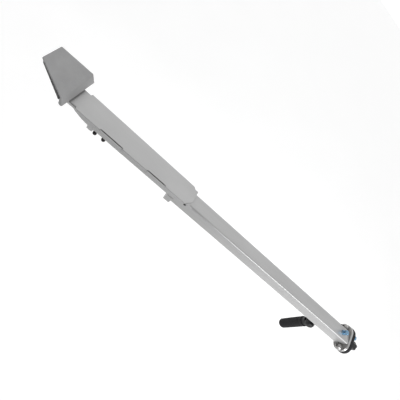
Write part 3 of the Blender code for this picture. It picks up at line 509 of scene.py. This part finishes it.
def loft(rings, sides, place):
    """A closed skin through rings of (height, outline). A ring with the outline None is one point."""
    bm = bmesh.new()
    loops = []
    for height, outline in rings:
        if outline is None:
            loops.append([bm.verts.new(place @ Vector((0, 0, height)))] * sides)
            continue
        loop = []
        for i in range(sides):
            angle = 2 * pi * i / sides
            radius = outline(angle)
            point = Vector((radius * cos(angle), radius * sin(angle), height))
            loop.append(bm.verts.new(place @ point))
        loops.append(loop)
    for lower, upper in zip(loops, loops[1:]):
        for i in range(sides):
            j = (i + 1) % sides
            corners = list(dict.fromkeys((lower[i], lower[j], upper[j], upper[i])))
            if len(corners) > 2:
                bm.faces.new(corners)
    return bm


def hex_rings(apothem, low, high):
    """Rings of a hexagonal body with a 30 degree chamfer at its top and at its foot."""
    inner = apothem * 0.96
    corner = apothem / cos(pi / 6)
    steps = [inner + (corner - inner) * k / 4 for k in range(5)]
    slope = tan(radians(30))
    top = [(high - (clip - inner) * slope, hexagon(apothem, clip)) for clip in steps]
    foot = [(low + (clip - inner) * slope, hexagon(apothem, clip)) for clip in steps]
    return foot + top[::-1]


def nut(name, node, bore, along, body, slot):
    """Chamfered hexagon nut in the box of a packed one, with a countersunk bore."""
    low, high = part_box(node)
    axis = max(range(3), key=lambda i: abs(along[i]))
    centre = (low + high) / 2
    height = high[axis] - low[axis]
    apothem = ACROSS_FLATS[node] / 2
    start = centre - Vector(along) * height / 2
    rings = hex_rings(apothem, 0, height)
    sink = 0.6 * MM
    rings = [(sink, circle(bore)), (0, circle(bore + sink))] + rings
    rings += [(height, circle(bore + sink)), (height - sink, circle(bore)), (sink, circle(bore))]
    bm = loft(rings, NUT_SIDES, axis_frame(start, along))
    add_piece(name, bm, body, slot, [node])


def make_nuts():
    """The five nuts, each with the radius of its bore and the way it faces."""
    nut("pivot_nut_chamfered", "pivot_nut", 8.15 * MM, UPWARD, "pivot_base", "zinc_steel")
    nut("top_lock_nut_chamfered", "top_lock_nut", 4.35 * MM, UPWARD, "sliding_tube", "blue_zinc")
    nut("side_lock_nut_chamfered", "side_lock_nut", 2.65 * MM, RIGHTWARD, "sliding_tube", "black_steel")
    nut("stud_nut_chamfered", "stud_nut", 5.15 * MM, FORWARD, "gate_fitting", "blue_zinc")
    nut("jam_nut_chamfered", "jam_nut", 6.35 * MM, FORWARD, "gate_fitting", "black_steel")


def make_plug_bolts():
    """The bolts that hold the end plug: one stands on the tube, one on its side."""
    plug_bolt("top_bolt", UPWARD, 4.2 * MM, 5.5 * MM, "blue_zinc")
    plug_bolt("side_bolt", RIGHTWARD, 2.5 * MM, 3.5 * MM, "black_steel")


def plug_bolt(node, along, shank, head_high, slot):
    """Hexagon head with a washer face below and a raised ring above, on a plain chamfered shank."""
    low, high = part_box(node)
    axis = max(range(3), key=lambda i: abs(along[i]))
    centre = (low + high) / 2
    length = high[axis] - low[axis]
    head = length - head_high
    apothem = ACROSS_FLATS[node] / 2
    chamfer, washer, ring = 0.6 * MM, 0.2 * MM, 0.3 * MM
    rings = [
        (0, None),
        (0, circle(shank - chamfer)),
        (chamfer, circle(shank)),
        (head, circle(shank)),
        (head, circle(apothem * 0.95)),
    ]
    rings += hex_rings(apothem, head + washer, length - ring)
    rings += [
        (length - ring, circle(apothem * 0.8)),
        (length, circle(apothem * 0.76)),
        (length, None),
    ]
    start = centre - Vector(along) * length / 2
    bm = loft(rings, NUT_SIDES, axis_frame(start, along))
    add_piece(f"{node}_chamfered", bm, "sliding_tube", slot, [node])


def make_dome_bolts():
    """Polished domes with a hexagon socket; the shanks end in a chamfered thread."""
    for hand in ("left", "right"):
        node = f"dome_bolt_{hand}"
        low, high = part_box(node)
        centre = (low + high) / 2
        plate_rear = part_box("end_plate")[0].x
        head = plate_rear - low.x - 0.3 * MM
        radius = (high.z - low.z) / 2
        shank = high.x - plate_rear
        thread, chamfer = 5 * MM, 0.7 * MM
        rim, rim_edge = 2.2 * MM, 0.3 * MM
        socket = DOME_SOCKET / 2
        rings = [
            (-shank, None),
            (-shank, circle(thread - chamfer)),
            (chamfer - shank, circle(thread)),
            (0, circle(thread)),
            (0, circle(radius - rim_edge)),
            (rim_edge, circle(radius)),
            (rim, circle(radius)),
        ]
        steps, sweep = 11, radians(72)
        for k in range(1, steps + 1):
            angle = sweep * k / steps
            rise = (head - rim) * sin(angle) / sin(sweep)
            rings.append((rim + rise, circle(radius * cos(angle))))
        rings += [
            (head, circle(socket * 1.25)),
            (head - 0.5 * MM, hexagon(socket)),
            (head - 5.5 * MM, hexagon(socket)),
            (head - 7 * MM, None),
        ]
        bm = loft(rings, DOME_SIDES, axis_frame((plate_rear, centre.y, centre.z), BACKWARD))
        add_piece(f"{node}_polished", bm, "gate_fitting", "polished_steel", [node])


def make_clamp_screws():
    """Knurled heads with a hexagon socket below, and the shanks up into the carriage."""
    for end, body in (("rear", "clamp_screw_a"), ("front", "clamp_screw_b")):
        node = f"clamp_screw_{end}"
        low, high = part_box(node)
        centre = (low + high) / 2
        radius = (high.x - low.x) / 2
        length = high.z - low.z
        head, shank, tip = 11 * MM, 3 * MM, 0.5 * MM
        grip = knurl(radius, 0.45 * MM, 36)
        socket, socket_deep = SCREW_SOCKET / 2, 4 * MM
        rings = [
            (socket_deep, None),
            (socket_deep, hexagon(socket)),
            (0.4 * MM, hexagon(socket)),
            (0, circle(socket * 1.3)),
            (0, circle(radius - 1 * MM)),
            (0.6 * MM, circle(radius - 0.5 * MM)),
            (1.2 * MM, grip),
            (head - 1.2 * MM, grip),
            (head - 0.6 * MM, circle(radius - 0.5 * MM)),
            (head, circle(radius - 1 * MM)),
            (head, circle(shank)),
            (length - tip, circle(shank)),
            (length, circle(shank - tip)),
            (length, None),
        ]
        bm = loft(rings, KNURLED_SIDES, Matrix.Translation((centre.x, centre.y, low.z)))
        add_piece(f"{node}_knurled", bm, body, "black_steel", [node])


def make_grip():
    """Ribbed rubber sleeve with a collar, waists between the ribs, and a rounded end with a vent."""
    hinge = Vector(joints["lever_turn"]["pos_m"])
    along = Vector((sin(LEVER_TILT), 0, -cos(LEVER_TILT)))
    start, end = 24.3 * MM, 143 * MM
    radius, bore = 15.2 * MM, 6.8 * MM
    rib_from, rib_to, pitch, depth = 38 * MM, 122 * MM, 5.6 * MM, 0.9 * MM
    waist = circle(radius - 0.8 * MM)
    mouth = (start, circle(radius - 1.8 * MM))
    rings = [
        mouth,
        (start + 0.5 * MM, circle(radius - 0.6 * MM)),
        (start + 1.4 * MM, circle(radius)),
        (start + 6 * MM, circle(radius)),
        (start + 7 * MM, waist),
        (start + 8.2 * MM, waist),
    ]
    rings_per_rib = 8
    steps = round((rib_to - rib_from) / pitch) * rings_per_rib
    for k in range(steps + 1):
        place = rib_from + (rib_to - rib_from) * k / steps
        wave = abs(sin(pi * (place - rib_from) / pitch)) ** 0.6
        rings.append((place, circle(radius - depth * (1 - wave))))
    round_steps = 12
    for k in range(1, round_steps):
        angle = pi / 2 * k / round_steps
        rings.append((end - radius + radius * sin(angle), circle(radius * cos(angle))))
    vent = end - 4 * MM
    rings += [
        (end - 0.1 * MM, circle(2 * MM)),
        (end - 0.8 * MM, circle(1.6 * MM)),
        (vent, circle(1.5 * MM)),
        (vent, None),
    ]
    blind = end - 12 * MM
    inner = [(blind, None), (blind, circle(bore)), (start, circle(bore)), mouth]
    bm = loft(rings, GRIP_SIDES, axis_frame(hinge, along))
    lining = loft(inner, GRIP_SIDES, axis_frame(hinge, along))
    mesh = bpy.data.meshes.new("grip_lining")
    lining.to_mesh(mesh)
    lining.free()
    bm.from_mesh(mesh)
    bpy.data.meshes.remove(mesh)
    add_piece("rubber_grip_ribbed", bm, "lever", "black_rubber", ["rubber_grip"])


def make_knob():
    """Six-lobed knob with rounded shoulders and a dished face, and the threaded insert in it."""
    low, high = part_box("clamp_knob")
    centre = (low + high) / 2
    depth = high.x - low.x
    mean, swing, count = 13.0 * MM, 0.85 * MM, 6
    corner, steps = 2.6 * MM, 6
    bore = 6.7 * MM
    blind = depth - 4 * MM
    rings = [
        (blind, None),
        (blind, circle(bore)),
        (0.4 * MM, circle(bore)),
        (0, circle(bore + 0.5 * MM)),
    ]
    angles = [pi / 2 * k / steps for k in range(steps + 1)]
    for angle in angles:
        radius = mean - corner * (1 - sin(angle))
        rings.append((corner * (1 - cos(angle)), lobes(radius, swing, count)))
    for angle in angles:
        radius = mean - corner * (1 - cos(angle))
        rings.append((depth - corner * (1 - sin(angle)), lobes(radius, swing, count)))
    rings += [
        (depth, circle(7.5 * MM)),
        (depth - 0.9 * MM, circle(6.6 * MM)),
        (depth - 1.2 * MM, None),
    ]
    place = axis_frame((low.x, centre.y, centre.z), FORWARD)
    bm = loft(rings, KNOB_SIDES, place)
    add_piece("clamp_knob_lobed", bm, "knob", "black_plastic", ["clamp_knob"])
    near, far = 0.3 * MM, 12 * MM
    inside, outside = circle(6.32 * MM), circle(6.6 * MM)
    insert = [(near, inside), (near, outside), (far, outside), (far, inside), (near, inside)]
    bm = loft(insert, INSERT_SIDES, place)
    add_piece("knob_insert", bm, "knob", "black_steel")


def helix_ridge(place, start, end, root, crest, pitch):
    """A thread: a pointed ridge wound about Z from one height to another."""
    bm = bmesh.new()
    per_turn = 32
    fade_steps = 16
    count = int((end - start - pitch) / pitch * per_turn)
    sections = []
    for k in range(count + 1):
        angle = 2 * pi * k / per_turn
        height = start + pitch / 2 + pitch * k / per_turn
        fade = min(1, k / fade_steps, (count - k) / fade_steps)
        peak = root + (crest - root) * max(fade, 0.05)
        section = []
        for radius, shift in ((root, -0.42), (peak, -0.06), (peak, 0.06), (root, 0.42)):
            point = Vector((radius * cos(angle), radius * sin(angle), height + shift * pitch))
            section.append(bm.verts.new(place @ point))
        sections.append(section)
    for first, second in zip(sections, sections[1:]):
        for i in range(4):
            j = (i + 1) % 4
            bm.faces.new((first[i], first[j], second[j], second[i]))
    bm.faces.new(sections[0])
    bm.faces.new(sections[-1][::-1])
    return bm


def make_threads():
    """Threads on the spindle's end and on the two bolts behind the pad."""
    spindle_low, spindle_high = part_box("spindle")
    nut_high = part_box("jam_nut")[1]
    centre = (spindle_low + spindle_high) / 2
    place = axis_frame((0, centre.y, centre.z), FORWARD)
    start, end = nut_high.x + 0.5 * MM, spindle_high.x - 1 * MM
    bm = helix_ridge(place, start, end, 5.94 * MM, 6.26 * MM, SPINDLE_PITCH)
    add_piece("spindle_thread", bm, "gate_fitting", "black_steel", sharp=25)
    pad_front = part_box("rubber_pad")[1].x
    for hand in ("left", "right"):
        low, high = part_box(f"dome_bolt_{hand}")
        centre = (low + high) / 2
        place = axis_frame((0, centre.y, centre.z), FORWARD)
        start, end = pad_front + 0.4 * MM, high.x - 0.8 * MM
        bm = helix_ridge(place, start, end, 4.94 * MM, 5.22 * MM, DOME_BOLT_PITCH)
        add_piece(f"dome_bolt_thread_{hand}", bm, "gate_fitting", "polished_steel", sharp=25)


def make_spring():
    """Close-ended round-wire spring, wound in the box of the imported one."""
    low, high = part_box("plunger_spring")
    centre = (low + high) / 2
    wire = 0.55 * MM
    radius = (high.x - low.x) / 2 - wire
    top, bottom = high.z - wire, low.z + wire
    turns, per_turn, closed = 7, 24, 1.2
    curve = bpy.data.curves.new("pin_spring", "CURVE")
    curve.dimensions = "3D"
    curve.bevel_depth = wire
    curve.bevel_resolution = 3
    curve.use_fill_caps = True
    line = curve.splines.new("POLY")
    total = turns * per_turn
    line.points.add(total)
    lean = 2.1 * wire * closed  # height that each closed end takes
    for k in range(total + 1):
        turn = k / per_turn
        if turn < closed:
            drop = lean * turn / closed
        elif turn > turns - closed:
            drop = top - bottom - lean * (turns - turn) / closed
        else:
            drop = lean + (top - bottom - 2 * lean) * (turn - closed) / (turns - 2 * closed)
        angle = 2 * pi * turn
        x, y = centre.x + radius * cos(angle), centre.y + radius * sin(angle)
        line.points[k].co = (x, y, top - drop, 1)
    coil = bpy.data.objects.new("pin_spring", curve)
    bpy.context.scene.collection.objects.link(coil)
    bpy.context.view_layer.update()
    graph = bpy.context.evaluated_depsgraph_get()
    mesh = bpy.data.meshes.new_from_object(coil.evaluated_get(graph))
    bpy.data.objects.remove(coil, do_unlink=True)
    bm = bmesh.new()
    bm.from_mesh(mesh)
    made = add_piece("pin_spring_wound", bm, None, "black_steel", ["plunger_spring"], sharp=60)
    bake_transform(made)


def weld_bead(name, path, radius, body, closed=False):
    """A rippled fillet of weld along a path of points."""
    bm = bmesh.new()
    around = 8
    sections = []
    count = len(path)
    for k, point in enumerate(path):
        ahead = path[(k + 1) % count] if closed or k + 1 < count else point
        behind = path[k - 1] if closed or k else point
        along = (Vector(ahead) - Vector(behind)).normalized()
        side = along.cross(Vector((0, 0, 1))).normalized()
        up = side.cross(along)
        ripple = 0.14 * sin(k * 2.1)
        lumps = 0.12 * noise.noise(Vector(point) * 400)
        swell = radius * (1 + ripple + lumps)
        section = []
        for i in range(around):
            angle = 2 * pi * i / around
            outward = side * cos(angle) + up * sin(angle)
            section.append(bm.verts.new(Vector(point) + swell * outward))
        sections.append(section)
    pairs = list(zip(sections, sections[1:]))
    if closed:
        pairs.append((sections[-1], sections[0]))
    for first, second in pairs:
        for i in range(around):
            j = (i + 1) % around
            bm.faces.new((first[i], first[j], second[j], second[i]))
    if not closed:
        bm.faces.new(sections[0])
        bm.faces.new(sections[-1][::-1])
    add_piece(name, bm, body, "painted_steel" if body == "arm" else "black_steel", sharp=70)


def make_welds():
    """Beads along the lever's lug plate, and round the hub boss under the rail's web."""
    low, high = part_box("lever_lug")
    tube_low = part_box("tube")[0].z
    bead = 1.1 * MM
    start, end = low.x + 4 * MM, high.x - 4 * MM
    below = tube_low - 0.6 * MM
    steps = 40
    for hand, y in (("left", high.y), ("right", low.y)):
        path = [(start + (end - start) * k / steps, y, below) for k in range(steps + 1)]
        weld_bead(f"lug_weld_{hand}", path, bead, "sliding_tube")
    boss_low, boss_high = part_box("hub_boss")
    radius = (boss_high.x - boss_low.x) / 2 + 0.3 * MM
    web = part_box("rail")[1].z - 4.6 * MM
    steps = 72
    angles = [2 * pi * k / steps for k in range(steps)]
    path = [(radius * cos(angle), radius * sin(angle), web) for angle in angles]
    weld_bead("boss_weld", path, bead, "arm", closed=True)


# Studio

def make_studio():
    """A wide floor well below the arm, the sky, and a strip light by the gate end."""
    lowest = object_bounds()[0].z
    middle = (FLOOR_MIDDLE_X, 0, lowest - FLOOR_DROP)
    bpy.ops.mesh.primitive_plane_add(size=FLOOR_SIZE, location=middle)
    floor = bpy.context.object
    floor.name = "studio_floor"
    floor.data.materials.append(studio_floor("studio_floor_look"))
    make_sky()
    add_light("strip", STRIP_AT, STRIP_AIM, STRIP_LENGTH, STRIP_HEIGHT, STRIP_POWER)


def make_sky():
    """Soft light all round that falls off towards the arm's left side."""
    world = bpy.data.worlds.new("studio_world")
    world.use_nodes = True
    tree = world.node_tree
    place = tree.nodes.new("ShaderNodeTexCoord")
    towards = tree.nodes.new("ShaderNodeVectorMath")
    towards.operation = "DOT_PRODUCT"
    towards.inputs[1].default_value = SKY_BRIGHT_SIDE
    tree.links.new(place.outputs["Generated"], towards.inputs[0])
    level = tree.nodes.new("ShaderNodeMath")
    level.operation = "MULTIPLY_ADD"
    level.inputs[1].default_value = SKY_SWING
    level.inputs[2].default_value = SKY_MEAN
    tree.links.new(towards.outputs["Value"], level.inputs[0])
    least = tree.nodes.new("ShaderNodeMath")
    least.operation = "MAXIMUM"
    least.inputs[1].default_value = SKY_LEAST
    tree.links.new(level.outputs["Value"], least.inputs[0])
    tree.links.new(least.outputs["Value"], tree.nodes["Background"].inputs["Strength"])
    tree.nodes["Background"].inputs["Color"].default_value = (1, 1, 1, 1)
    bpy.context.scene.world = world


def add_light(name, place, target, length, height, power):
    """A rectangular light that faces a point; its length lies level."""
    data = bpy.data.lights.new(name, "AREA")
    data.shape = "RECTANGLE"
    data.size = length
    data.size_y = height
    data.energy = power
    made = bpy.data.objects.new(name, data)
    made.location = place
    made.rotation_euler = (Vector(target) - Vector(place)).to_track_quat("-Z", "Y").to_euler()
    bpy.context.scene.collection.objects.link(made)


def make_camera():
    """The camera at the photographer's place, with its axes given one by one."""
    data = bpy.data.cameras.new("camera")
    data.lens = CAMERA_LENS
    data.sensor_width = CAMERA_SENSOR
    data.clip_start = CAMERA_NEAR
    made = bpy.data.objects.new("camera", data)
    turn = Matrix((CAMERA_RIGHT, CAMERA_UP, CAMERA_BACK)).transposed().to_4x4()
    made.matrix_world = Matrix.Translation(CAMERA_AT) @ turn
    bpy.context.scene.collection.objects.link(made)
    bpy.context.scene.camera = made
    bpy.context.scene.view_settings.view_transform = "Standard"


for leftover in [o for o in bpy.data.objects if o.type in ("LIGHT", "CAMERA") or o.name == "Cube"]:
    bpy.data.objects.remove(leftover, do_unlink=True)
make_camera()
make_nuts()
make_plug_bolts()
make_dome_bolts()
make_clamp_screws()
make_grip()
make_knob()
make_threads()
make_spring()
make_welds()
make_studio()
